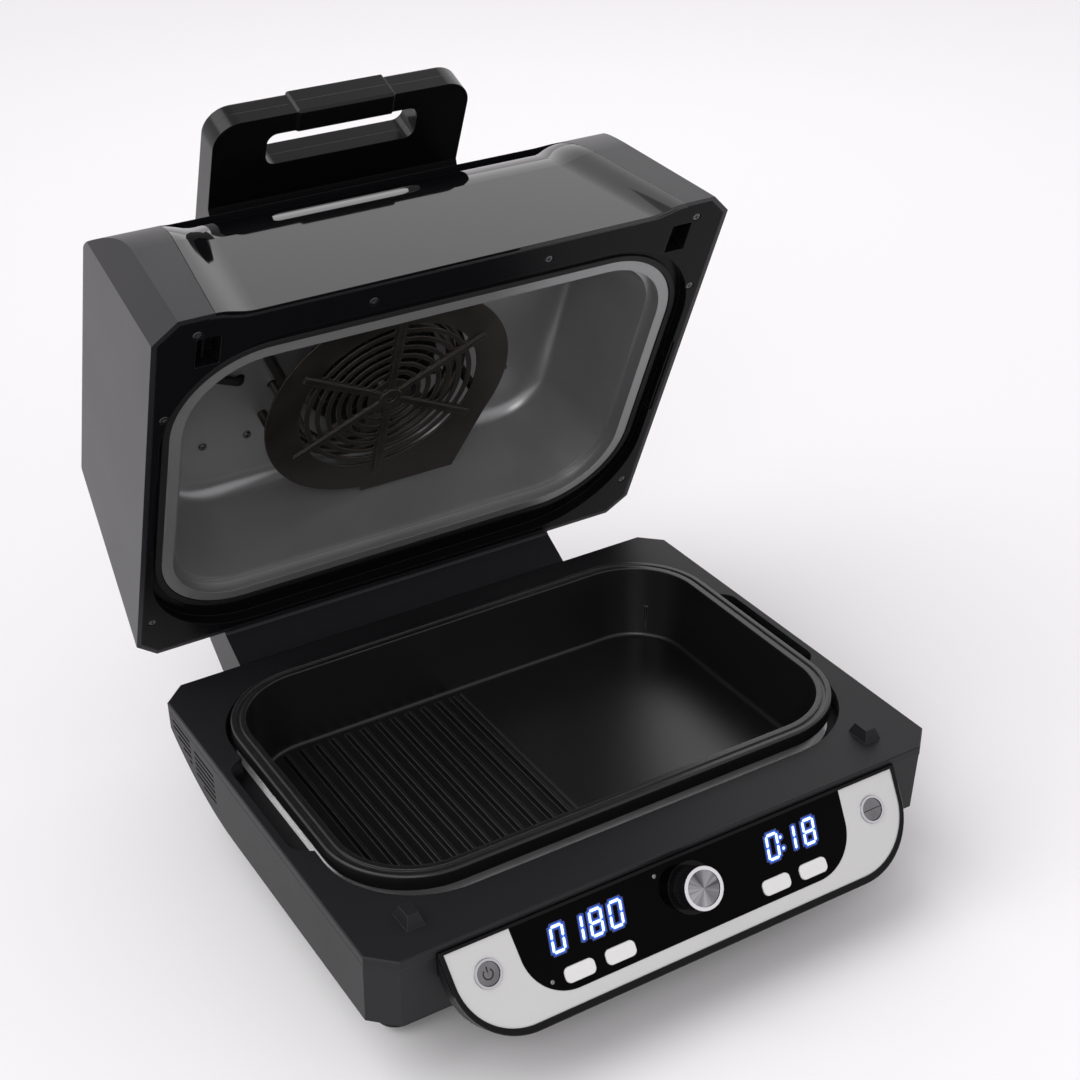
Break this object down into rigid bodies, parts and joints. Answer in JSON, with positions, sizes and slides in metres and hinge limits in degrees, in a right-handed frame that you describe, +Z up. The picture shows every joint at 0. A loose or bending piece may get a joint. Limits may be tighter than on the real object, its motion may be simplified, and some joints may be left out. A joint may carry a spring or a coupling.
{
  "type": "countertop grill and air fryer",
  "caption": "Countertop contact-free grill and air fryer with a hinged domed lid, lift-out ribbed pan, fan and angled control panel, shown open.",
  "frame": {"origin": "middle of the whole outline in plan with the lid open, on the surface that the feet stand on", "axes": "+X to the user's right, +Y to the back, +Z up"},
  "size_m": [0.43, 0.5567, 0.4983],
  "materials": {
    "black_plastic": "fine textured black moulding",
    "gloss_black": "high gloss black",
    "silver": "satin silver",
    "chrome": "bright plated",
    "white_plastic": "off-white moulding",
    "rubber": "soft black",
    "bright_steel": "bare sheet steel",
    "coated_steel": "dark grey coated sheet",
    "dark_steel": "dark heat-stained steel",
    "board": "green circuit board",
    "nonstick": "black non-stick coating over cast aluminium",
    "brass": "plain bearing"
  },
  "bodies": {
    "base": {"base_deck": "black_plastic", "base_shell": "black_plastic", "bottom_cover": "black_plastic", "rubber_feet": "rubber", "heat_bowl": "bright_steel", "lower_heater": "dark_steel", "heater_clips": "bright_steel", "temperature_probe": "bright_steel", "panel_housing": "black_plastic", "panel_bezel": "gloss_black", "panel_plate": "silver", "display_glass": "gloss_black", "display_modules": "black_plastic", "control_board": "board", "button_rings": "chrome", "knob_collar": "gloss_black", "encoder": "bright_steel", "power_board": "board", "cord_gland": "rubber", "hinge_brackets": "dark_steel", "hinge_pins": "bright_steel", "friction_washers": "bright_steel", "lid_switch": "black_plastic"},
    "lid": {"lid_shell": "black_plastic", "gloss_panel": "gloss_black", "handle_body": "black_plastic", "handle_cover": "black_plastic", "handle_bolts": "dark_steel", "lid_frame": "black_plastic", "frame_screws": "dark_steel", "latch_keepers": "black_plastic", "lid_seal": "rubber", "lid_liner": "coated_steel", "liner_screws": "dark_steel", "heater_guard": "dark_steel", "lid_heater": "dark_steel", "heater_lead": "rubber", "fan_motor": "dark_steel", "motor_bracket": "bright_steel", "hinge_arm": "black_plastic", "hinge_bushes": "brass"},
    "pan": {"grill_pan": "nonstick"},
    "fan": {"fan_impeller": "bright_steel", "fan_shaft": "bright_steel"},
    "knob": {"selector_knob": "chrome"},
    "power_key": {"power_button": "silver"},
    "start_key": {"start_button": "silver"},
    "pill_key_1": {"pill_button_1": "white_plastic"},
    "pill_key_2": {"pill_button_2": "white_plastic"},
    "pill_key_3": {"pill_button_3": "white_plastic"},
    "pill_key_4": {"pill_button_4": "white_plastic"}
  },
  "joints": [
    {"name": "lid_hinge", "type": "hinge", "parent": "base", "child": "lid", "pos_m": [0, 0.1298, 0.0758], "axis": [1, 0, 0], "range_deg": [0, 65.6]},
    {"name": "pan_lift", "type": "slide", "parent": "base", "child": "pan", "axis": [0, 0, -1], "range_m": [-0.12, 0]},
    {"name": "knob_turn", "type": "hinge", "parent": "base", "child": "knob", "pos_m": [0, -0.25434, 0.08695], "axis": [0, -0.8368, 0.5476], "continuous": true},
    {"name": "fan_spin", "type": "hinge", "parent": "lid", "child": "fan", "pos_m": [0, 0.16043, 0.28471], "axis": [0, 0.9107, 0.4131], "continuous": true},
    {"name": "power_press", "type": "slide", "parent": "base", "child": "power_key", "axis": [0, 0.8368, -0.5476], "range_m": [0, 0.0015], "stiffness_N_per_m": 900},
    {"name": "start_press", "type": "slide", "parent": "base", "child": "start_key", "axis": [0, 0.8368, -0.5476], "range_m": [0, 0.0015], "stiffness_N_per_m": 900},
    {"name": "pill_1_press", "type": "slide", "parent": "base", "child": "pill_key_1", "axis": [0, 0.8368, -0.5476], "range_m": [0, 0.001], "stiffness_N_per_m": 900},
    {"name": "pill_2_press", "type": "slide", "parent": "base", "child": "pill_key_2", "axis": [0, 0.8368, -0.5476], "range_m": [0, 0.001], "stiffness_N_per_m": 900},
    {"name": "pill_3_press", "type": "slide", "parent": "base", "child": "pill_key_3", "axis": [0, 0.8368, -0.5476], "range_m": [0, 0.001], "stiffness_N_per_m": 900},
    {"name": "pill_4_press", "type": "slide", "parent": "base", "child": "pill_key_4", "axis": [0, 0.8368, -0.5476], "range_m": [0, 0.001], "stiffness_N_per_m": 900}
  ]
}
